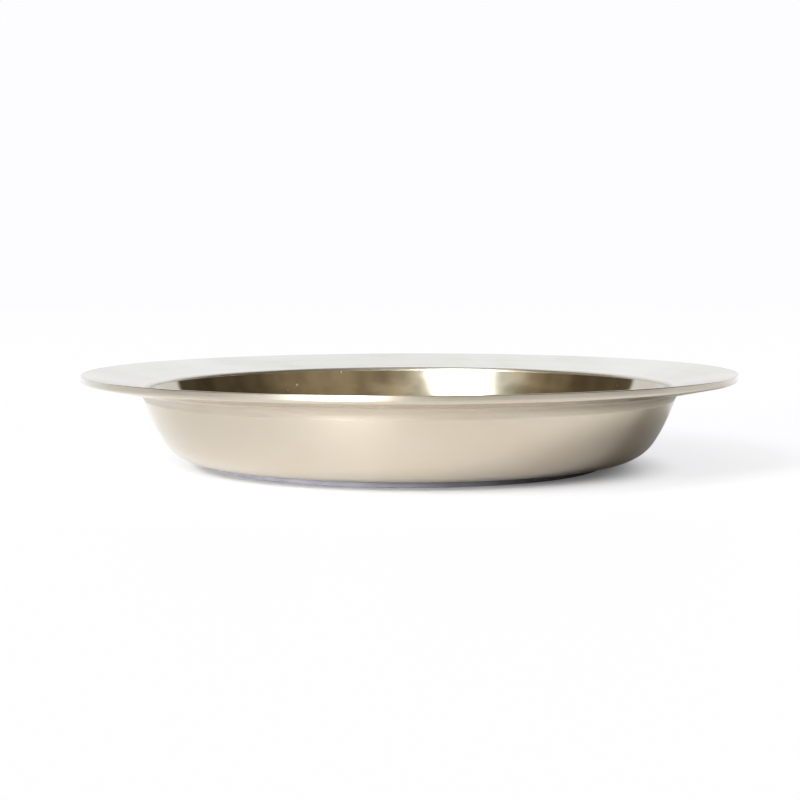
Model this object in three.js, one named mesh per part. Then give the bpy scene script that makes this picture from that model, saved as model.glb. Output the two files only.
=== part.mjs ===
// A nut dish: a round, shallow brass bowl with a wide rim that slopes up to its edge, on a thin non-slip pad.
// Millimetres, +Z up. The pad's underside lies on z = 0, and the dish is round about the Z axis.
import * as THREE from 'three';

// Sizes of the dish. Its height is the metal's own, from the base to the rim's top corner before rounding.
const RIM_DIAMETER = 160;
const DISH_HEIGHT = 21.4;
const BASE_DIAMETER = 102.4;
const WALL_THICKNESS = 1.8;
const RIM_EDGE_HEIGHT = 1.8;

// Radii of its section: the foot's outside, the hollow under the rim, the mouth's edge and the rim edge's corners.
const FOOT_RADIUS = 10.7;
const UNDER_RIM_RADIUS = 3;
const MOUTH_EDGE_RADIUS = 1.5;
const RIM_LOWER_CORNER_RADIUS = 0.8;
const RIM_UPPER_CORNER_RADIUS = 0.2;

// Slopes of its section, in degrees: the wall's lean from upright at both ends, and the rim's rise from level.
const WALL_LEAN_AT_FOOT = 32.5;
const WALL_LEAN_AT_TOP = 18;
const RIM_RISE = 11.4;

// Sizes of the pad that is glued under the base.
const PAD_THICKNESS = 1.75;
const PAD_INSET = 3.7;
const PAD_CORNER_RADIUS = 0.3;

// How finely the round shapes are cut: flats around the axis, and how far a chord may leave its arc.
const FLATS_AROUND = 72;
const CHORD_ERROR = 0.04;

const UPRIGHT = Math.PI / 2;
const rimRadius = RIM_DIAMETER / 2;
const baseRadius = BASE_DIAMETER / 2;

// Headings along the section: angles from straight outwards, turning towards straight up.
const footHeading = UPRIGHT - THREE.MathUtils.degToRad(WALL_LEAN_AT_FOOT);
const topHeading = UPRIGHT - THREE.MathUtils.degToRad(WALL_LEAN_AT_TOP);
const rimHeading = THREE.MathUtils.degToRad(RIM_RISE);
const rimSlope = Math.tan(rimHeading);

function point(radius, height) {
  return new THREE.Vector2(radius, height);
}

// Adds the point that lies a distance ahead of the line's last point.
function goStraight(line, heading, distance) {
  const last = line[line.length - 1];
  line.push(point(last.x + distance * Math.cos(heading), last.y + distance * Math.sin(heading)));
}

// Adds an arc from the line's last point, turning from one heading to another, and returns the arc's end.
function goRound(line, fromHeading, toHeading, radius) {
  const last = line[line.length - 1];
  const side = Math.sign(toHeading - fromHeading);
  const centreR = last.x - side * radius * Math.sin(fromHeading);
  const centreZ = last.y + side * radius * Math.cos(fromHeading);
  const finestStep = 2 * Math.acos(1 - Math.min(CHORD_ERROR / radius, 1));
  const steps = Math.ceil(Math.abs(toHeading - fromHeading) / finestStep);
  for (let step = 1; step <= steps; step += 1) {
    const heading = fromHeading + (toHeading - fromHeading) * step / steps;
    const r = centreR + side * radius * Math.sin(heading);
    const z = centreZ - side * radius * Math.cos(heading);
    line.push(point(r, z));
  }
  return line[line.length - 1];
}

// The length that an arc takes off each of the two straight lines that it joins.
function cornerLength(radius, turnAngle) {
  return radius * Math.tan(turnAngle / 2);
}

// The wall's outside is an arc from the foot to the hollow under the rim.
// Its radius is the one that brings the rim's edge to the dish's height.
function wallArcRadius() {
  const footReach = baseRadius + FOOT_RADIUS * Math.sin(footHeading);
  const footRise = FOOT_RADIUS * (1 - Math.cos(footHeading));
  const hollowReach = UNDER_RIM_RADIUS * (Math.sin(topHeading) - Math.sin(rimHeading));
  const hollowRise = UNDER_RIM_RADIUS * (Math.cos(rimHeading) - Math.cos(topHeading));
  const rimRise = (rimRadius - footReach - hollowReach) * rimSlope;
  const riseLeft = DISH_HEIGHT - RIM_EDGE_HEIGHT - footRise - hollowRise - rimRise;
  const risePerRadius = Math.cos(footHeading) - Math.cos(topHeading);
  const reachPerRadius = Math.sin(topHeading) - Math.sin(footHeading);
  return riseLeft / (risePerRadius - reachPerRadius * rimSlope);
}

// The underside, from the middle of the base out to the hollow's end under the rim.
function undersideLine() {
  const line = [point(0, 0), point(baseRadius, 0)];
  goRound(line, 0, footHeading, FOOT_RADIUS);
  goRound(line, footHeading, topHeading, wallArcRadius());
  goRound(line, topHeading, rimHeading, UNDER_RIM_RADIUS);
  return line;
}

// The rim's edge is upright, and both of its corners are rounded.
function rimEdgeLine() {
  const edgeFoot = DISH_HEIGHT - RIM_EDGE_HEIGHT;
  const lower = cornerLength(RIM_LOWER_CORNER_RADIUS, UPRIGHT - rimHeading);
  const upper = cornerLength(RIM_UPPER_CORNER_RADIUS, UPRIGHT + rimHeading);
  const line = [point(rimRadius - lower * Math.cos(rimHeading), edgeFoot - lower * Math.sin(rimHeading))];
  goRound(line, rimHeading, UPRIGHT, RIM_LOWER_CORNER_RADIUS);
  line.push(point(rimRadius, DISH_HEIGHT - upper));
  goRound(line, UPRIGHT, rimHeading + Math.PI, RIM_UPPER_CORNER_RADIUS);
  return line;
}

// The top side, from the middle of the bowl's floor out to the rim.
// Above its arc the wall runs straight on to the mouth, where a rounded edge joins it to the rim.
function topLine() {
  const line = [point(0, WALL_THICKNESS), point(baseRadius, WALL_THICKNESS)];
  goRound(line, 0, footHeading, FOOT_RADIUS - WALL_THICKNESS);
  const arcEnd = goRound(line, footHeading, topHeading, wallArcRadius() - WALL_THICKNESS);
  const riseToRim = DISH_HEIGHT - (rimRadius - arcEnd.x) * rimSlope - arcEnd.y;
  const lengthToRim = riseToRim / (Math.sin(topHeading) - Math.cos(topHeading) * rimSlope);
  goStraight(line, topHeading, lengthToRim - cornerLength(MOUTH_EDGE_RADIUS, topHeading - rimHeading));
  goRound(line, topHeading, rimHeading, MOUTH_EDGE_RADIUS);
  return line;
}

function dishSection() {
  return [...undersideLine(), ...rimEdgeLine(), ...topLine().reverse()];
}

function padSection() {
  const padRadius = baseRadius - PAD_INSET;
  const line = [point(0, 0), point(padRadius - PAD_CORNER_RADIUS, 0)];
  goRound(line, 0, UPRIGHT, PAD_CORNER_RADIUS);
  line.push(point(padRadius, PAD_THICKNESS), point(0, PAD_THICKNESS));
  return line;
}

// Turns a section that starts and ends on the axis into a solid that stands upright.
function turnedPiece(name, section, material) {
  const mesh = new THREE.Mesh(new THREE.LatheGeometry(section, FLATS_AROUND), material);
  mesh.name = name;
  mesh.rotation.x = UPRIGHT;
  return mesh;
}

const brass = new THREE.MeshStandardMaterial({ color: 0xd9cfb9, roughness: 0.3, metalness: 1 });
const rubber = new THREE.MeshStandardMaterial({ color: 0x7c7b82, roughness: 0.8, metalness: 0 });

const dish = turnedPiece('dish_body', dishSection(), brass);
dish.position.z = PAD_THICKNESS;
const pad = turnedPiece('base_pad', padSection(), rubber);

const nutDish = new THREE.Group();
nutDish.name = 'nut_dish';
nutDish.add(dish, pad);

export default nutDish;
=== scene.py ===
"""Dresses the nut dish: a brass bowl with a wide rim, satin outside, polished inside, on a rubber pad."""
import math

import bpy
from bpy.props import FloatProperty, FloatVectorProperty, IntProperty, PointerProperty
from bpy.types import Operator, Panel, PropertyGroup
from mathutils import Matrix, Vector


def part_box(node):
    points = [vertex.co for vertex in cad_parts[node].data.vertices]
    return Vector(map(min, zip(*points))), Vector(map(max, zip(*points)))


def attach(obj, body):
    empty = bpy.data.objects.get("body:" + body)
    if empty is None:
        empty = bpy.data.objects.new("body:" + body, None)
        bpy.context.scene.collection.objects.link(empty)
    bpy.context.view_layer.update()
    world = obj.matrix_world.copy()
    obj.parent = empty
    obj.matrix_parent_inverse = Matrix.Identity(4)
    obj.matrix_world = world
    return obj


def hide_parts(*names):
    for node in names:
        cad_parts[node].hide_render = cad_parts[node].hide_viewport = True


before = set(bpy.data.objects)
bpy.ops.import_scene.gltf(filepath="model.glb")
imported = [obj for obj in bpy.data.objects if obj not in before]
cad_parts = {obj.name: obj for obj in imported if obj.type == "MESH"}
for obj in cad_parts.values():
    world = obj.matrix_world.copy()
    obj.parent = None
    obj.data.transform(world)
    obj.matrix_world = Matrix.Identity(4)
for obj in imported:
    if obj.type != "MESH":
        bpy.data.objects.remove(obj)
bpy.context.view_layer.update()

bl_info = {
    "name": "Nut dish",
    "version": (1, 0, 0),
    "blender": (4, 5, 0),
    "location": "3D View > Sidebar > Nut dish",
    "description": "Builds the dish, its pad and the studio around them",
    "category": "Object",
}

PICTURE_SIZE = 800
FULL_TURN = 2 * math.pi
MILLIMETRE = 0.001

DISH_LOW, DISH_HIGH = (Vector(corner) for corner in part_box("dish_body"))
PAD_LOW, PAD_HIGH = (Vector(corner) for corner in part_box("base_pad"))

# Distances from the axis at which the floor changes: painted light makes its shadows paler, and further away
# it gets cooler
UNDER_RIM = 0.85 * DISH_HIGH.x
BESIDE_DISH = 1.6 * DISH_HIGH.x
FAR_AWAY = 25 * DISH_HIGH.x

# Heights between which the hollow under the rim begins, and between which it ends
HOLLOW_FOOT = (0.705 * DISH_HIGH.z, 0.745 * DISH_HIGH.z)
HOLLOW_TOP = (0.87 * DISH_HIGH.z, 0.83 * DISH_HIGH.z)

# Between these values lies most of a noise texture
NOISE_SPAN = (0.3, 0.7)

# Brass: where clouds turn it warm, how clouds and bands change its roughness, and how much a speck adds to it
WARM_SPAN = (0.42, 0.72)
BRASS_CLOUDING = (0.92, 1.12)
BRASS_BANDING = (0.94, 1.06)
SPECK_ROUGHNESS = 0.35

# The way in which the grain spreads light, in full turns from along the turning lines
ACROSS_THE_LINES = 0.25

# Specks: radius of the smallest, and how much larger the largest is, in shares of the grid that they lie on
SMALLEST_SPECK = 0.05
SPECK_SPREAD = 0.16

# Rubber: where clouds darken it, its darkest and palest shades, how much a speck covers, and how clouds
# change its roughness
RUBBER_CLOUD_SPAN = (0.35, 0.7)
RUBBER_DARKEST = 0.8
RUBBER_PALEST = 1.6
RUBBER_SPECK_COVER = 0.6
RUBBER_CLOUDING = (0.92, 1.1)

# How far from a rounded corner a straight stretch is held flat
DISH_HOLD = 0.25 * MILLIMETRE
PAD_HOLD = 0.1 * MILLIMETRE

# Steps in each of the pad's rounded corners
PAD_CORNER_STEPS = 6

# Which corner of the dish's section is the mouth, and how far inside it the polish ends, in mouth radii
MOUTH_CORNER = 6
POLISH_INSET = 0.2

# Points closer together than this become one
MERGE_DISTANCE = 0.0005 * MILLIMETRE


def radians_of(*degrees):
    """Angles that are given in degrees."""
    return tuple(math.radians(each) for each in degrees)


# Heights between which the reflected surroundings change
BACKDROP_NARROWS = radians_of(4, 10)
BACKDROP_BRIGHTENS = radians_of(8, 22)
WINDOW_WIDENS = radians_of(12, 28)
WINDOW_DIMS = radians_of(24, 36)

# Half the width of their soft edges, and the whole width of the ceiling's
BACKDROP_SIDE_SOFT = math.radians(2)
BACKDROP_TOP_SOFT = math.radians(6)
WINDOW_TOP_SOFT = math.radians(4)
CEILING_SOFT = math.radians(16)

# How bright the room is, by degrees right of straight behind the camera
ROOM_BRIGHTNESS = ((-125, 0.12), (-88, 0.11), (-70, 0.25), (-52, 0.65), (-40, 1.0), (0, 0.47), (12, 0.30),
                   (60, 0.21), (85, 0.08), (125, 0.06))
ROOM_PEAK = 1.5

# Its colours where it is dark and where it is bright, the brightness between them, and how uneven it is
ROOM_DARK_TINT = (1.0, 0.80, 0.48)
ROOM_PALE_TINT = (0.92, 1.0, 0.95)
ROOM_TINT_SPAN = (0.08, 0.9)
ROOM_PATCHES = (0.7, 1.3)


def length(name, description, default):
    """A size in metres that a user may change."""
    return FloatProperty(name=name, description=description, default=default, min=0.0, precision=5,
                         unit="LENGTH")


def angle(name, description, degrees):
    """An angle that a user may change, given here in degrees."""
    return FloatProperty(name=name, description=description, default=math.radians(degrees), unit="ROTATION")


def share(name, description, default):
    """A plain number between nothing and one."""
    return FloatProperty(name=name, description=description, default=default, min=0.0, max=1.0)


def strength(name, description, default):
    """A plain number that has no upper end."""
    return FloatProperty(name=name, description=description, default=default, min=0.0)


def colour(name, description, default):
    """A colour in linear light."""
    return FloatVectorProperty(name=name, description=description, default=default, size=3, subtype="COLOR",
                               min=0.0, max=1.0)


class DishShape(PropertyGroup):
    """The section that is turned to make the dish."""
    rim_diameter: length("Rim", "Diameter of the rim's edge", DISH_HIGH.x - DISH_LOW.x)
    base_height: length("Base height", "Height of the flat base above the table", DISH_LOW.z)
    height: length("Height", "From the flat base to the rim's top corner before rounding", 0.0214)
    base_diameter: length("Base", "Diameter of the flat base", 0.1024)
    wall_thickness: length("Wall", "Thickness of the metal", 0.0018)
    edge_height: length("Rim edge", "Height of the rim's upright edge", 0.0018)
    foot_radius: length("Foot", "Outside radius between base and wall", 0.0107)
    under_rim_radius: length("Under the rim", "Radius of the hollow under the rim", 0.003)
    mouth_radius: length("Mouth", "Radius of the edge between wall and rim", 0.0015)
    edge_top_radius: length("Upper corner", "Radius of the rim edge's upper corner", 0.0002)
    edge_foot_radius: length("Lower corner", "Radius of the rim edge's lower corner", 0.0008)
    lean_at_foot: angle("Lean at the foot", "Wall's lean from upright above the foot", 32.5)
    lean_at_top: angle("Lean at the top", "Wall's lean from upright under the rim", 18)
    rim_rise: angle("Rim rise", "Slope of the rim, up towards its edge", 11.4)
    flats: IntProperty(name="Flats", description="Flats around the axis", default=288, min=24)
    corner_steps: IntProperty(name="Steps", description="Steps in each rounded corner", default=12, min=2)


class PadShape(PropertyGroup):
    """The pad under the base."""
    diameter: length("Pad", "Diameter of the pad", PAD_HIGH.x - PAD_LOW.x)
    thickness: length("Thickness", "Thickness of the pad", PAD_HIGH.z - PAD_LOW.z)
    corner_radius: length("Corner", "Radius of the pad's lower corner", 0.0003)
    top_radius: length("Top corner", "Radius of the pad's upper corner", 0.00005)
    colour: colour("Colour", "Colour of the rubber", (0.2, 0.197, 0.222))
    roughness: share("Roughness", "Roughness of the rubber", 0.8)


class BrassFinish(PropertyGroup):
    """The metal's colours and finishes."""
    colour: colour("Brass", "Colour of the metal, seen straight on", (0.53, 0.481, 0.408))
    warm_colour: colour("Warm brass", "Colour where the metal is tarnished a little", (0.52, 0.464, 0.385))
    dust_colour: colour("Dust", "Colour of the few specks of dust", (0.78, 0.75, 0.68))
    satin_roughness: share("Satin", "Roughness of the outside and the rim", 0.21)
    hollow_roughness: share("Hollow", "Roughness of the hollow under the rim", 0.45)
    satin_grain: share("Satin grain", "How much the turning lines spread light across them", 0.7)
    polished_roughness: share("Polished", "Roughness inside the bowl", 0.07)
    specks: share("Specks", "Share of the places inside the bowl that hold a speck of dust", 0.12)
    line_spacing: length("Turning lines", "Typical distance between the fine turning lines", 0.00022)
    line_depth: strength("Line depth", "Strength of the turning lines on the satin outside", 0.012)
    polished_line_depth: strength("Polished line depth", "Strength of the turning lines inside", 0.004)


class Studio(PropertyGroup):
    """The light around the dish and the camera in front of it."""
    floor_colour: colour("Floor", "Colour of the pale floor around the dish", (0.85, 0.86, 0.88))
    far_floor_colour: colour("Far floor", "Colour of the floor further away", (0.82, 0.87, 0.97))
    # Painted light: how strongly the floor glows for the camera beside the pad, under the rim and beside the
    # dish, which pales its shadows
    contact_lift: share("Paler contact", "How much paler the camera sees the shadow beside the pad", 0.1)
    floor_lift: share("Paler shadows", "The same under the rim", 0.78)
    far_lift: share("Paler surroundings", "The same beside the dish", 0.93)
    key_turn: angle("Key light", "Where the floor's main light is, left of behind the camera", 42)
    key_elevation: angle("Key elevation", "Height of the floor's main light", 32)
    key_size: angle("Key size", "How large the floor's main light looks", 24)
    key_light: strength("Key brightness", "Strength of the floor's main light", 4.97)
    low_turn: angle("Low light", "Where the light under the rim comes from, left of behind the camera", 56)
    low_elevation: angle("Low elevation", "Height of the light that reaches under the rim", 6)
    low_size: angle("Low size", "How large the light that reaches under the rim looks", 10)
    low_light: strength("Low brightness", "Strength of the light that reaches under the rim", 7.0)
    fill_turn: angle("Fill light", "Where the floor's soft light is, left of behind the camera", -20)
    fill_elevation: angle("Fill elevation", "Height of the floor's soft light", 68)
    fill_size: angle("Fill size", "How large the floor's soft light looks", 60)
    fill_light: strength("Fill brightness", "Strength of the floor's soft light", 1.02)
    fill_colour: colour("Fill colour", "Colour of the floor's soft light", (1.0, 0.9, 0.7))
    sky_colour: colour("Background", "What the camera sees behind the floor", (0.985, 0.98, 1.0))
    backdrop_left: angle("Backdrop left", "How far it reaches left of straight behind", 51)
    backdrop_right: angle("Backdrop right", "How far it reaches right of straight behind", 44.5)
    backdrop_low: angle("Low backdrop", "How far its foot reaches to either side", 85)
    backdrop_top: angle("Backdrop top", "How high the pale backdrop reaches", 60)
    backdrop_colour: colour("Backdrop", "Colour of the backdrop in the metal", (0.87, 0.935, 1.0))
    backdrop_low_colour: colour("Low backdrop colour", "Colour of the backdrop's foot", (0.896, 0.91, 0.93))
    backdrop_low_light: strength("Low backdrop light", "Brightness of the backdrop's foot", 1.14)
    backdrop_light: strength("Backdrop light", "Brightness of the backdrop above its foot", 1.52)
    window_turn: angle("Window", "Where the window is, left of straight behind the camera", 24.3)
    window_half_width: angle("Window width", "Half of the window's width", 12.1)
    window_low_half_width: angle("Low window width", "Half of the window's width low down", 8.0)
    window_top: angle("Window top", "How high the window reaches", 62)
    window_soft: angle("Window edge", "How far beside the window its light falls to about a third", 2.5)
    window_lean: share("Window lean", "How much the window's top leans away to the left", 0.45)
    window_light: strength("Window light", "Brightness of the window's upper part", 16.0)
    window_low_light: strength("Low window light", "Brightness of the window's lower part", 19.0)
    overhead_from: angle("Overhead", "Height from which the pale ceiling shows", 62)
    overhead_light: strength("Overhead light", "Brightness of the ceiling", 0.7)
    camera_distance: length("Distance", "From the camera to the middle of the rim", 0.45)
    camera_elevation: angle("Elevation", "Height of the camera above level", 4.547)
    camera_roll: angle("Roll", "Turn of the camera about its own axis", -0.115)
    pixels_per_metre: strength("Scale", "Picture pixels per metre at the rim", 4049)
    rim_place: FloatVectorProperty(name="Rim's place", size=2, default=(409.43, 370.6),
                                   description="Rim's middle in the picture, in pixels from the top left")


class NutDish(PropertyGroup):
    """Everything that a user may change."""
    dish: PointerProperty(type=DishShape)
    pad: PointerProperty(type=PadShape)
    brass: PointerProperty(type=BrassFinish)
    studio: PointerProperty(type=Studio)


# Node helpers

def add_node(tree, kind, sockets=None, **settings):
    """Adds a node. A socket's value is a number, a colour or another node's output."""
    made = tree.nodes.new(kind)
    for name, value in settings.items():
        setattr(made, name, value)
    for key, value in (sockets or {}).items():
        if isinstance(value, bpy.types.NodeSocket):
            tree.links.new(value, made.inputs[key])
        else:
            made.inputs[key].default_value = value
    return made


def calc(tree, operation, first, second=0.0, third=0.0):
    """Adds a Math node and returns its value."""
    made = add_node(tree, "ShaderNodeMath", {0: first, 1: second, 2: third}, operation=operation)
    return made.outputs["Value"]


def fade(tree, value, start, end, low=0.0, high=1.0):
    """A smooth step: low up to start, high from end on."""
    sockets = {"Value": value, "From Min": start, "From Max": end, "To Min": low, "To Max": high}
    return add_node(tree, "ShaderNodeMapRange", sockets, interpolation_type="SMOOTHSTEP").outputs["Result"]


def axis_distance(tree, x, y):
    """How far from the Z axis a place with these coordinates is."""
    squares = [calc(tree, "MULTIPLY", part, part) for part in (x, y)]
    return calc(tree, "SQRT", calc(tree, "ADD", *squares))


def mix_colours(tree, factor, first, second, blend="MIX"):
    """Mixes two colours; each is a colour or another node's output."""
    made = add_node(tree, "ShaderNodeMix", data_type="RGBA", blend_type=blend)
    sockets = {"Factor_Float": factor, "A_Color": first, "B_Color": second}
    for socket in made.inputs:
        value = sockets.get(socket.identifier)
        if isinstance(value, bpy.types.NodeSocket):
            tree.links.new(value, socket)
        elif value is not None:
            socket.default_value = opaque(value) if socket.type == "RGBA" else value
    return next(socket for socket in made.outputs if socket.type == "RGBA")


def opaque(rgb):
    """A colour with full alpha."""
    return (rgb[0], rgb[1], rgb[2], 1.0)


def scaled(values, factor):
    """The same values, such as a colour's, times a factor."""
    return [value * factor for value in values]


def shader_group(name, inputs, outputs):
    """An empty shader node group: inputs are name to default, outputs are names of plain values."""
    group = bpy.data.node_groups.new(name, "ShaderNodeTree")
    for key, default in inputs.items():
        socket = group.interface.new_socket(key, in_out="INPUT", socket_type="NodeSocketFloat")
        socket.default_value = default
    for key in outputs:
        group.interface.new_socket(key, in_out="OUTPUT", socket_type="NodeSocketFloat")
    return group, group.nodes.new("NodeGroupInput"), group.nodes.new("NodeGroupOutput")


def place_group(tree, group, **values):
    """Places a node group in a material and sets its inputs; underscores stand for spaces."""
    made = add_node(tree, "ShaderNodeGroup", node_tree=group)
    for key, value in values.items():
        made.inputs[key.replace("_", " ").capitalize()].default_value = value
    return made


# Shader groups that the finishes share

def turning_lines_group():
    """Fine rings left by turning: the same all round, but for a slow waver."""
    name = "Turning lines"
    if name in bpy.data.node_groups:
        return bpy.data.node_groups[name]
    defaults = {"Spacing": 0.0003, "Waver": 18.0}
    tree, ins, outs = shader_group(name, defaults, ("Height", "Band"))
    place = add_node(tree, "ShaderNodeTexCoord").outputs["Object"]
    split = add_node(tree, "ShaderNodeSeparateXYZ", {"Vector": place})
    x, y, z = split.outputs
    rings = calc(tree, "DIVIDE", axis_distance(tree, x, y), ins.outputs["Spacing"])
    layers = calc(tree, "DIVIDE", z, ins.outputs["Spacing"])
    slow_x = calc(tree, "MULTIPLY", x, ins.outputs["Waver"])
    slow_y = calc(tree, "MULTIPLY", y, ins.outputs["Waver"])
    along = add_node(tree, "ShaderNodeCombineXYZ", {"X": rings, "Y": layers, "Z": slow_x})
    at = {"Vector": along.outputs["Vector"], "W": slow_y}
    fine = add_node(tree, "ShaderNodeTexNoise", {**at, "Scale": 1.0, "Detail": 2.0, "Roughness": 0.6},
                    noise_dimensions="4D")
    broad = add_node(tree, "ShaderNodeTexNoise", {**at, "Scale": 0.08, "Detail": 1.0}, noise_dimensions="4D")
    tree.links.new(fine.outputs["Fac"], outs.inputs["Height"])
    tree.links.new(broad.outputs["Fac"], outs.inputs["Band"])
    return tree


def handling_group():
    """Faint clouding from wiping and handling, and a few tiny specks."""
    name = "Handling"
    if name in bpy.data.node_groups:
        return bpy.data.node_groups[name]
    defaults = {"Cloud scale": 45.0, "Speck scale": 420.0, "Speck amount": 0.05}
    tree, ins, outs = shader_group(name, defaults, ("Clouds", "Specks"))
    place = add_node(tree, "ShaderNodeTexCoord").outputs["Object"]
    clouds = add_node(tree, "ShaderNodeTexNoise", {"Vector": place, "Scale": ins.outputs["Cloud scale"],
                                                   "Detail": 4.0, "Roughness": 0.55, "Distortion": 0.6})
    cells = add_node(tree, "ShaderNodeTexVoronoi", {"Vector": place, "Scale": ins.outputs["Speck scale"]})
    chosen = add_node(tree, "ShaderNodeSeparateColor", {"Color": cells.outputs["Color"]})
    kept = calc(tree, "LESS_THAN", chosen.outputs["Red"], ins.outputs["Speck amount"])
    size = calc(tree, "MULTIPLY_ADD", chosen.outputs["Green"], SPECK_SPREAD, SMALLEST_SPECK)
    dot = fade(tree, calc(tree, "DIVIDE", cells.outputs["Distance"], size), 1.0, 0.5)
    tree.links.new(clouds.outputs["Fac"], outs.inputs["Clouds"])
    tree.links.new(calc(tree, "MULTIPLY", kept, dot), outs.inputs["Specks"])
    return tree


# Finishes

def new_material(name):
    """An empty node material: its tree and its Principled BSDF."""
    material = bpy.data.materials.new(name)
    material.use_nodes = True
    return material, material.node_tree, material.node_tree.nodes["Principled BSDF"]


def brass_material(name, finish, roughness, hollow_roughness, grain, line_depth, speck_amount):
    """Turned brass, rougher in the hollow under the rim, with a grain that runs round the axis."""
    material, tree, shader = new_material(name)
    lines = place_group(tree, turning_lines_group(), spacing=finish.line_spacing)
    handling = place_group(tree, handling_group(), speck_amount=speck_amount)
    clouds, specks = handling.outputs["Clouds"], handling.outputs["Specks"]
    base = mix_colours(tree, fade(tree, clouds, *WARM_SPAN), finish.colour, finish.warm_colour)
    specked = mix_colours(tree, specks, base, finish.dust_colour)
    place = add_node(tree, "ShaderNodeTexCoord").outputs["Object"]
    rise = add_node(tree, "ShaderNodeSeparateXYZ", {"Vector": place}).outputs["Z"]
    hollow = calc(tree, "MULTIPLY", fade(tree, rise, *HOLLOW_FOOT), fade(tree, rise, *HOLLOW_TOP))
    rougher = calc(tree, "MULTIPLY_ADD", hollow, hollow_roughness / roughness - 1.0, 1.0)
    cloudy = fade(tree, clouds, *NOISE_SPAN, *scaled(BRASS_CLOUDING, roughness))
    banded = calc(tree, "MULTIPLY", cloudy, fade(tree, lines.outputs["Band"], *NOISE_SPAN, *BRASS_BANDING))
    rough = calc(tree, "MULTIPLY_ADD", specks, SPECK_ROUGHNESS, calc(tree, "MULTIPLY", banded, rougher))
    bump = add_node(tree, "ShaderNodeBump", {"Height": lines.outputs["Height"], "Strength": line_depth,
                                             "Distance": finish.line_spacing})
    tree.links.new(specked, shader.inputs["Base Color"])
    tree.links.new(rough, shader.inputs["Roughness"])
    tree.links.new(bump.outputs["Normal"], shader.inputs["Normal"])
    round_axis = add_node(tree, "ShaderNodeTangent", direction_type="RADIAL", axis="Z")
    tree.links.new(round_axis.outputs["Tangent"], shader.inputs["Tangent"])
    shader.inputs["Anisotropic"].default_value = grain
    shader.inputs["Anisotropic Rotation"].default_value = ACROSS_THE_LINES
    shader.inputs["Metallic"].default_value = 1.0
    return material


def rubber_material(pad):
    """Matt rubber with a fine moulded grain."""
    material, tree, shader = new_material("Pad rubber")
    handling = place_group(tree, handling_group(), cloud_scale=90.0, speck_scale=600.0, speck_amount=0.12)
    place = add_node(tree, "ShaderNodeTexCoord").outputs["Object"]
    grain = add_node(tree, "ShaderNodeTexVoronoi", {"Vector": place, "Scale": 1800.0})
    clouds, specks = handling.outputs["Clouds"], handling.outputs["Specks"]
    darker = fade(tree, clouds, *RUBBER_CLOUD_SPAN)
    clouded = mix_colours(tree, darker, pad.colour, scaled(pad.colour, RUBBER_DARKEST))
    covered = calc(tree, "MULTIPLY", specks, RUBBER_SPECK_COVER)
    dusty = mix_colours(tree, covered, clouded, scaled(pad.colour, RUBBER_PALEST))
    rough = fade(tree, clouds, *NOISE_SPAN, *scaled(RUBBER_CLOUDING, pad.roughness))
    bump = add_node(tree, "ShaderNodeBump", {"Height": grain.outputs["Distance"], "Strength": 0.35,
                                             "Distance": 0.1 * MILLIMETRE})
    tree.links.new(dusty, shader.inputs["Base Color"])
    tree.links.new(rough, shader.inputs["Roughness"])
    tree.links.new(bump.outputs["Normal"], shader.inputs["Normal"])
    shader.inputs["Specular IOR Level"].default_value = 0.3
    return material


def floor_material(studio):
    """A pale floor, cooler further away. For the camera it glows with painted light, so the camera sees its
    shadows paler than the metal does.
    """
    material, tree, shader = new_material("Studio floor")
    shader.inputs["Roughness"].default_value = 0.4
    shader.inputs["Specular IOR Level"].default_value = 0.2
    seen = add_node(tree, "ShaderNodeLightPath").outputs["Is Camera Ray"]
    place = add_node(tree, "ShaderNodeTexCoord").outputs["Object"]
    reach = add_node(tree, "ShaderNodeVectorMath", {0: place}, operation="LENGTH").outputs["Value"]
    cooler = fade(tree, reach, BESIDE_DISH, 2 * BESIDE_DISH)
    tree.links.new(mix_colours(tree, cooler, studio.floor_colour, studio.far_floor_colour),
                   shader.inputs["Base Color"])
    # Painted light: for the camera the floor glows in the background's colour, little beside the pad and
    # fully far away, which pales its shadows
    near = fade(tree, reach, PAD_HIGH.x, UNDER_RIM, studio.contact_lift, studio.floor_lift)
    beside = fade(tree, reach, UNDER_RIM, BESIDE_DISH, 0.0, studio.far_lift - studio.floor_lift)
    far = fade(tree, reach, BESIDE_DISH, FAR_AWAY, 0.0, 1.0 - studio.far_lift)
    painted_light_share = calc(tree, "MULTIPLY", seen, calc(tree, "ADD", calc(tree, "ADD", near, beside), far))
    painted_light_glow = add_node(tree, "ShaderNodeEmission", {"Color": opaque(studio.sky_colour)})
    shown = add_node(tree, "ShaderNodeMixShader", {0: painted_light_share, 1: shader.outputs["BSDF"],
                                                   2: painted_light_glow.outputs["Emission"]})
    tree.links.new(shown.outputs["Shader"], tree.nodes["Material Output"].inputs["Surface"])
    return material


# Sections: lists of corners (radius, height, rounding), from the axis round to the axis again

def ahead(start, heading, distance):
    """The point a distance away from start; headings run from straight outwards towards straight up."""
    return Vector((start[0] + distance * math.cos(heading), start[1] + distance * math.sin(heading)))


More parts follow.
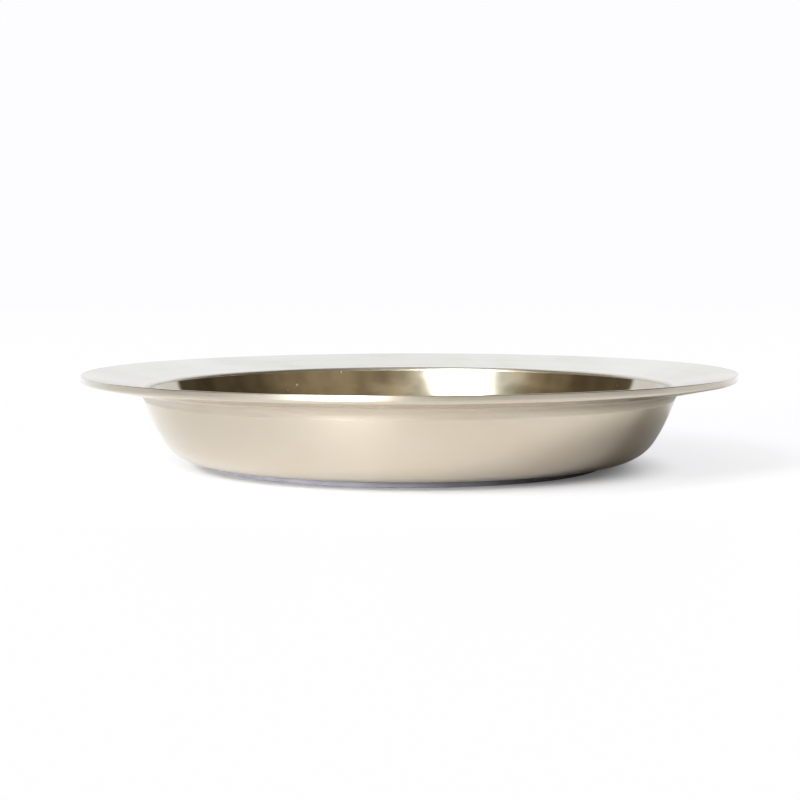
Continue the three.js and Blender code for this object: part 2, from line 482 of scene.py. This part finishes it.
def dish_section(shape):
    """Corners of the dish's section, each with the radius that rounds it."""
    foot = math.pi / 2 - shape.lean_at_foot
    top = math.pi / 2 - shape.lean_at_top
    rim = shape.rim_rise
    slope = math.tan(rim)
    rim_radius = shape.rim_diameter / 2
    base_radius = shape.base_diameter / 2
    hollow = shape.under_rim_radius

    foot_reach = base_radius + shape.foot_radius * math.sin(foot)
    foot_rise = shape.foot_radius * (1 - math.cos(foot))
    hollow_reach = hollow * (math.sin(top) - math.sin(rim))
    hollow_rise = hollow * (math.cos(rim) - math.cos(top))
    rim_lift = (rim_radius - foot_reach - hollow_reach) * slope
    rise_left = shape.height - shape.edge_height - foot_rise - hollow_rise - rim_lift
    rise_per_radius = math.cos(foot) - math.cos(top) - (math.sin(top) - math.sin(foot)) * slope
    wall_radius = rise_left / rise_per_radius

    def foot_and_wall(inset):
        """The corners of the foot and the wall, on the outside or a wall's thickness inside it."""
        foot_round = shape.foot_radius - inset
        wall_round = wall_radius - inset
        foot_corner = Vector((base_radius + foot_round * math.tan(foot / 2), inset))
        wall_tangent = wall_round * math.tan((top - foot) / 2)
        wall_corner = ahead(foot_corner, foot, foot_round * math.tan(foot / 2) + wall_tangent)
        return (*foot_corner, foot_round), (*wall_corner, wall_round), ahead(wall_corner, top, wall_tangent)

    def meet_rim(start, height):
        """Where the wall's straight end would meet the rim's face, whose edge is at a height."""
        rise = height - (rim_radius - start[0]) * slope - start[1]
        return ahead(start, top, rise / (math.sin(top) - math.cos(top) * slope))

    outer_foot, outer_wall, outer_end = foot_and_wall(0.0)
    inner_foot, inner_wall, inner_end = foot_and_wall(shape.wall_thickness)
    under_rim = (*meet_rim(outer_end, shape.height - shape.edge_height), hollow)
    mouth = (*meet_rim(inner_end, shape.height), shape.mouth_radius)
    edge_foot = (rim_radius, shape.height - shape.edge_height, shape.edge_foot_radius)
    edge_top = (rim_radius, shape.height, shape.edge_top_radius)
    middle = (0.0, 0.0, 0.0)
    floor = (0.0, shape.wall_thickness, 0.0)
    outside = [middle, outer_foot, outer_wall, under_rim, edge_foot, edge_top]
    inside = [mouth, inner_wall, inner_foot, floor]
    return outside + inside


def pad_section(pad):
    """Corners of the pad's section."""
    radius = pad.diameter / 2
    low = (radius, 0.0, pad.corner_radius)
    high = (radius, pad.thickness, pad.top_radius)
    return [(0.0, 0.0, 0.0), low, high, (0.0, pad.thickness, 0.0)]


def with_held_ends(section, hold):
    """Adds plain points a little way into each straight stretch, so that its shading stays flat."""
    tangents = []
    for index, corner in enumerate(section):
        tangent = 0.0
        if 0 < index < len(section) - 1:
            back = Vector(section[index - 1][:2]) - Vector(corner[:2])
            on = Vector(section[index + 1][:2]) - Vector(corner[:2])
            tangent = corner[2] / math.tan(back.angle(on) / 2)
        tangents.append(tangent)
    held = []
    for index, corner in enumerate(section[:-1]):
        held.append(corner)
        start, end = Vector(corner[:2]), Vector(section[index + 1][:2])
        span = (end - start).length
        free = span - tangents[index] - tangents[index + 1]
        if free > 4 * hold:
            for distance in (tangents[index] + hold, span - tangents[index + 1] - hold):
                held.append((*start.lerp(end, distance / span), 0.0))
    return held + [section[-1]]


# The tree that turns a section into a piece

PIECE_INPUTS = {"Section": "Geometry", "Flats": "Int", "Corner steps": "Int", "Bowl radius": "Float",
                "Outside": "Material", "Bowl": "Material"}


def turned_piece_tree():
    """Geometry Nodes: rounds a section's corners, turns it about the axis and gives it its finishes."""
    name = "Turned piece"
    if name in bpy.data.node_groups:
        return bpy.data.node_groups[name]
    tree = bpy.data.node_groups.new(name, "GeometryNodeTree")
    tree.is_modifier = True
    for key, kind in PIECE_INPUTS.items():
        tree.interface.new_socket(key, in_out="INPUT", socket_type=f"NodeSocket{kind}")
    tree.interface.new_socket("Piece", in_out="OUTPUT", socket_type="NodeSocketGeometry")
    given = tree.nodes.new("NodeGroupInput").outputs
    result = tree.nodes.new("NodeGroupOutput")

    rounding = add_node(tree, "GeometryNodeInputRadius").outputs["Radius"]
    rounded = add_node(tree, "GeometryNodeFilletCurve", {"Curve": given["Section"], "Radius": rounding,
                                                         "Count": given["Corner steps"]}, mode="POLY")
    line = rounded.outputs["Curve"]
    count = add_node(tree, "GeometryNodeAttributeDomainSize", {"Geometry": line}, component="CURVE")
    points = count.outputs["Point Count"]
    seam = calc(tree, "ADD", given["Flats"], 1.0)
    grid = add_node(tree, "GeometryNodeMeshGrid", {"Vertices X": seam, "Vertices Y": points})

    index = add_node(tree, "GeometryNodeInputIndex").outputs["Index"]
    column = calc(tree, "FLOOR", calc(tree, "DIVIDE", calc(tree, "ADD", index, 0.5), points))
    row = calc(tree, "SUBTRACT", index, calc(tree, "MULTIPLY", column, points))
    turn = calc(tree, "MULTIPLY", calc(tree, "DIVIDE", column, given["Flats"]), FULL_TURN)
    place = add_node(tree, "GeometryNodeInputPosition").outputs["Position"]
    sample = add_node(tree, "GeometryNodeSampleIndex", data_type="FLOAT_VECTOR", domain="POINT")
    tree.links.new(line, sample.inputs["Geometry"])
    tree.links.new(place, sample.inputs["Value"])
    tree.links.new(row, sample.inputs["Index"])
    at = add_node(tree, "ShaderNodeSeparateXYZ", {"Vector": sample.outputs["Value"]}).outputs
    x = calc(tree, "MULTIPLY", at["X"], calc(tree, "COSINE", turn))
    y = calc(tree, "MULTIPLY", at["X"], calc(tree, "SINE", turn))
    ring_place = add_node(tree, "ShaderNodeCombineXYZ", {"X": x, "Y": y, "Z": at["Z"]})
    turned = add_node(tree, "GeometryNodeSetPosition", {"Geometry": grid.outputs["Mesh"],
                                                        "Position": ring_place.outputs["Vector"]})
    closed = add_node(tree, "GeometryNodeMergeByDistance", {"Geometry": turned.outputs["Geometry"],
                                                            "Distance": MERGE_DISTANCE})
    smooth = add_node(tree, "GeometryNodeSetShadeSmooth", {"Geometry": closed.outputs["Geometry"]})

    face_place = add_node(tree, "ShaderNodeSeparateXYZ", {"Vector": place}).outputs
    radius = axis_distance(tree, face_place["X"], face_place["Y"])
    normal = add_node(tree, "GeometryNodeInputNormal").outputs["Normal"]
    facing = add_node(tree, "ShaderNodeSeparateXYZ", {"Vector": normal}).outputs["Z"]
    in_bowl = calc(tree, "MULTIPLY", calc(tree, "LESS_THAN", radius, given["Bowl radius"]),
                   calc(tree, "GREATER_THAN", facing, 0.0))
    real = add_node(tree, "GeometryNodeRealizeInstances", {"Geometry": smooth.outputs["Geometry"]})
    outside = add_node(tree, "GeometryNodeSetMaterial", {"Geometry": real.outputs["Geometry"],
                                                         "Material": given["Outside"]})
    inside = add_node(tree, "GeometryNodeSetMaterial", {"Geometry": outside.outputs["Geometry"],
                                                        "Selection": in_bowl, "Material": given["Bowl"]})
    tree.links.new(inside.outputs["Geometry"], result.inputs["Piece"])
    return tree


def section_object(name, section, height):
    """A curve object that holds a section, with each corner's rounding as the point's radius."""
    curve = bpy.data.curves.new(name, "CURVE")
    curve.dimensions = "3D"
    spline = curve.splines.new("POLY")
    spline.points.add(len(section) - 1)
    for point, (radius, rise, rounding) in zip(spline.points, section):
        point.co = (radius, 0.0, height + rise, 1.0)
        point.radius = rounding
    made = bpy.data.objects.new(name, curve)
    bpy.context.scene.collection.objects.link(made)
    return made


def turned_piece(name, section, height, **inputs):
    """Turns a section into a plain mesh object that sits at the origin."""
    source = section_object(f"{name}_section", section, height)
    modifier = source.modifiers.new("Turned piece", "NODES")
    modifier.node_group = turned_piece_tree()
    for item in modifier.node_group.interface.items_tree:
        key = item.name.lower().replace(" ", "_")
        if item.in_out == "INPUT" and key in inputs:
            modifier[item.identifier] = inputs[key]
    bpy.context.view_layer.update()
    mesh = bpy.data.meshes.new_from_object(source.evaluated_get(bpy.context.evaluated_depsgraph_get()))
    mesh.name = name
    if not mesh.polygons:
        raise RuntimeError(f"the section of {name} made no faces")
    source.modifiers.remove(modifier)
    bpy.data.curves.remove(source.data)
    piece = bpy.data.objects.new(name, mesh)
    bpy.context.scene.collection.objects.link(piece)
    return piece


# The studio

def studio_world(studio):
    """What the metal reflects: a backdrop, a tall window behind the camera, a dim room and a ceiling."""
    world = bpy.data.worlds.new("Studio")
    world.use_nodes = True
    tree = world.node_tree
    tree.nodes.clear()
    way = add_node(tree, "ShaderNodeTexCoord").outputs["Generated"]
    x, y, z = add_node(tree, "ShaderNodeSeparateXYZ", {"Vector": way}).outputs
    behind = calc(tree, "ARCTAN2", x, y)
    front = calc(tree, "ARCTAN2", x, calc(tree, "MULTIPLY", y, -1.0))
    rise = calc(tree, "ARCSINE", z)

    room = room_light(tree, way, front)
    left_reach = fade(tree, rise, *BACKDROP_NARROWS, studio.backdrop_low, studio.backdrop_left)
    right_reach = fade(tree, rise, *BACKDROP_NARROWS, studio.backdrop_low, studio.backdrop_right)
    left = calc(tree, "ADD", behind, left_reach)
    right = calc(tree, "SUBTRACT", right_reach, behind)
    sides = fade(tree, calc(tree, "MINIMUM", left, right), -BACKDROP_SIDE_SOFT, BACKDROP_SIDE_SOFT)
    top = studio.backdrop_top
    below = fade(tree, rise, top + BACKDROP_TOP_SOFT, top - BACKDROP_TOP_SOFT)
    backdrop = calc(tree, "MULTIPLY", sides, below)
    low_light = scaled(studio.backdrop_low_colour, studio.backdrop_low_light)
    high_light = scaled(studio.backdrop_colour, studio.backdrop_light)
    pale = mix_colours(tree, fade(tree, rise, *BACKDROP_BRIGHTENS), low_light, high_light)
    light = mix_colours(tree, backdrop, room, pale)

    ceiling = fade(tree, rise, studio.overhead_from, studio.overhead_from + CEILING_SOFT)
    light = mix_colours(tree, ceiling, light, scaled(studio.backdrop_colour, studio.overhead_light))

    high = fade(tree, rise, *WINDOW_WIDENS)
    leaning_part = calc(tree, "MAXIMUM", calc(tree, "SUBTRACT", rise, WINDOW_WIDENS[1]), 0.0)
    middle = calc(tree, "MULTIPLY_ADD", leaning_part, studio.window_lean, studio.window_turn)
    off = calc(tree, "ABSOLUTE", calc(tree, "ADD", front, middle))
    half_width = fade(tree, high, 0.0, 1.0, studio.window_low_half_width, studio.window_half_width)
    beside = calc(tree, "MAXIMUM", calc(tree, "SUBTRACT", off, half_width), 0.0)
    across = calc(tree, "EXPONENT", calc(tree, "DIVIDE", beside, -studio.window_soft))
    tall = fade(tree, rise, studio.window_top + WINDOW_TOP_SOFT, studio.window_top - WINDOW_TOP_SOFT)
    window = calc(tree, "MULTIPLY", across, tall)
    glare = fade(tree, rise, *WINDOW_DIMS, studio.window_low_light, studio.window_light)
    light = mix_colours(tree, window, light, glare)

    seen = add_node(tree, "ShaderNodeLightPath").outputs["Is Camera Ray"]
    shown = mix_colours(tree, seen, light, studio.sky_colour)
    background = add_node(tree, "ShaderNodeBackground", {"Color": shown})
    output = add_node(tree, "ShaderNodeOutputWorld")
    tree.links.new(background.outputs["Background"], output.inputs["Surface"])
    return world


def room_light(tree, way, front):
    """The room beside and behind the camera: dim and brown, and brighter beside the window."""
    along = calc(tree, "ADD", calc(tree, "DIVIDE", front, FULL_TURN), 0.5)
    ramp = add_node(tree, "ShaderNodeValToRGB", {"Fac": along})
    stops = ramp.color_ramp.elements
    while len(stops) < len(ROOM_BRIGHTNESS):
        stops.new(0.5)
    for stop, (degrees, brightness) in zip(stops, ROOM_BRIGHTNESS):
        stop.position = math.radians(degrees) / FULL_TURN + 0.5
        stop.color = (brightness, brightness, brightness, 1.0)
    brighter = fade(tree, ramp.outputs["Color"], *ROOM_TINT_SPAN)
    tint = mix_colours(tree, brighter, ROOM_DARK_TINT, ROOM_PALE_TINT)
    patches = add_node(tree, "ShaderNodeTexNoise", {"Vector": way, "Scale": 4.5, "Detail": 2.0})
    uneven = fade(tree, patches.outputs["Fac"], *NOISE_SPAN, *ROOM_PATCHES)
    tint = mix_colours(tree, 1.0, tint, uneven, "MULTIPLY")
    shade = mix_colours(tree, 1.0, ramp.outputs["Color"], tint, "MULTIPLY")
    return mix_colours(tree, 1.0, shade, (ROOM_PEAK, ROOM_PEAK, ROOM_PEAK), "MULTIPLY")


def studio_lamp(name, turn, elevation, size, light, tint=(1.0, 1.0, 1.0)):
    """A large soft lamp far away that lights the floor and doesn't show in the metal."""
    data = bpy.data.lights.new(name, "SUN")
    data.angle = size
    data.energy = light
    data.color = tint
    lamp = bpy.data.objects.new(name, data)
    lamp.visible_glossy = False
    lamp.rotation_euler = (math.pi / 2 - elevation, 0.0, -turn)
    bpy.context.scene.collection.objects.link(lamp)


def studio_floor(studio):
    """A wide flat floor under the pad."""
    half = 20.0
    corners = [(-half, -half, 0.0), (half, -half, 0.0), (half, half, 0.0), (-half, half, 0.0)]
    mesh = bpy.data.meshes.new("floor")
    mesh.from_pydata(corners, [], [(0, 1, 2, 3)])
    mesh.materials.append(floor_material(studio))
    floor = bpy.data.objects.new("floor", mesh)
    bpy.context.scene.collection.objects.link(floor)


def studio_camera(studio, rim_centre):
    """A camera with a long lens that puts the middle of the rim at its place in the picture."""
    level = studio.camera_elevation
    towards_camera = Vector((0.0, -math.cos(level), math.sin(level)))
    right = Vector((1.0, 0.0, 0.0))
    up = towards_camera.cross(right)
    offset_x = (PICTURE_SIZE / 2 - studio.rim_place[0]) / studio.pixels_per_metre
    offset_y = (PICTURE_SIZE / 2 - studio.rim_place[1]) / studio.pixels_per_metre
    target = rim_centre + right * offset_x - up * offset_y
    data = bpy.data.cameras.new("camera")
    data.sensor_width = 36.0
    data.lens = studio.pixels_per_metre * studio.camera_distance * data.sensor_width / PICTURE_SIZE
    data.clip_start = 0.01
    data.clip_end = 200.0
    camera = bpy.data.objects.new("camera", data)
    bpy.context.scene.collection.objects.link(camera)
    turn = Matrix((right, up, towards_camera)).transposed() @ Matrix.Rotation(studio.camera_roll, 3, "Z")
    place = Matrix.Translation(target + towards_camera * studio.camera_distance)
    camera.matrix_world = place @ turn.to_4x4()
    return camera


# Operators

class NUTDISH_OT_dish(Operator):
    """Turn the brass dish and finish it"""
    bl_idname = "nutdish.dish"
    bl_label = "Dish"

    def execute(self, context):
        settings = context.scene.nut_dish
        shape, finish = settings.dish, settings.brass
        corners = dish_section(shape)
        section = with_held_ends(corners, DISH_HOLD)
        bowl_radius = corners[MOUTH_CORNER][0] - POLISH_INSET * shape.mouth_radius
        satin = brass_material("Satin brass", finish, finish.satin_roughness, finish.hollow_roughness,
                               finish.satin_grain, finish.line_depth, 0.0)
        polished = brass_material("Polished brass", finish, finish.polished_roughness,
                                  finish.polished_roughness, 0.0, finish.polished_line_depth, finish.specks)
        dish = turned_piece("dish", section, shape.base_height, flats=shape.flats,
                            corner_steps=shape.corner_steps, bowl_radius=bowl_radius, outside=satin,
                            bowl=polished)
        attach(dish, "root")
        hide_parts("dish_body")
        return {"FINISHED"}


class NUTDISH_OT_pad(Operator):
    """Make the rubber pad under the base"""
    bl_idname = "nutdish.pad"
    bl_label = "Pad"

    def execute(self, context):
        settings = context.scene.nut_dish
        section = with_held_ends(pad_section(settings.pad), PAD_HOLD)
        rubber = rubber_material(settings.pad)
        pad = turned_piece("pad", section, PAD_LOW.z, flats=settings.dish.flats,
                           corner_steps=PAD_CORNER_STEPS, bowl_radius=0.0, outside=rubber, bowl=rubber)
        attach(pad, "root")
        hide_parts("base_pad")
        return {"FINISHED"}


class NUTDISH_OT_stage(Operator):
    """Set up the floor, the light and the camera"""
    bl_idname = "nutdish.stage"
    bl_label = "Studio"

    def execute(self, context):
        settings = context.scene.nut_dish
        shape = settings.dish
        studio = settings.studio
        studio_floor(studio)
        context.scene.world = studio_world(studio)
        context.scene.world.cycles_visibility.diffuse = False
        studio_lamp("key", studio.key_turn, studio.key_elevation, studio.key_size, studio.key_light)
        studio_lamp("low", studio.low_turn, studio.low_elevation, studio.low_size, studio.low_light)
        studio_lamp("fill", studio.fill_turn, studio.fill_elevation, studio.fill_size, studio.fill_light,
                    studio.fill_colour)
        rim_centre = Vector((0.0, 0.0, shape.base_height + shape.height))
        context.scene.camera = studio_camera(studio, rim_centre)
        context.scene.view_settings.view_transform = "Standard"
        return {"FINISHED"}


class NUTDISH_PT_panel(Panel):
    """Lists the pieces and their sizes"""
    bl_idname = "NUTDISH_PT_panel"
    bl_label = "Nut dish"
    bl_space_type = "VIEW_3D"
    bl_region_type = "UI"
    bl_category = "Nut dish"

    def draw(self, context):
        settings = context.scene.nut_dish
        for operator, groups in ((NUTDISH_OT_dish, ("dish", "brass")), (NUTDISH_OT_pad, ("pad",)),
                                 (NUTDISH_OT_stage, ("studio",))):
            box = self.layout.box()
            box.operator(operator.bl_idname)
            for group in groups:
                values = getattr(settings, group)
                for key in values.__annotations__:
                    box.prop(values, key)


CLASSES = (DishShape, PadShape, BrassFinish, Studio, NutDish, NUTDISH_OT_dish, NUTDISH_OT_pad,
           NUTDISH_OT_stage, NUTDISH_PT_panel)


def register():
    for each in CLASSES:
        bpy.utils.register_class(each)
    bpy.types.Scene.nut_dish = PointerProperty(type=NutDish)


def unregister():
    del bpy.types.Scene.nut_dish
    for each in reversed(CLASSES):
        bpy.utils.unregister_class(each)


def main():
    register()
    bpy.ops.nutdish.stage()
    bpy.ops.nutdish.dish()
    bpy.ops.nutdish.pad()


if __name__ == "__main__":
    main()
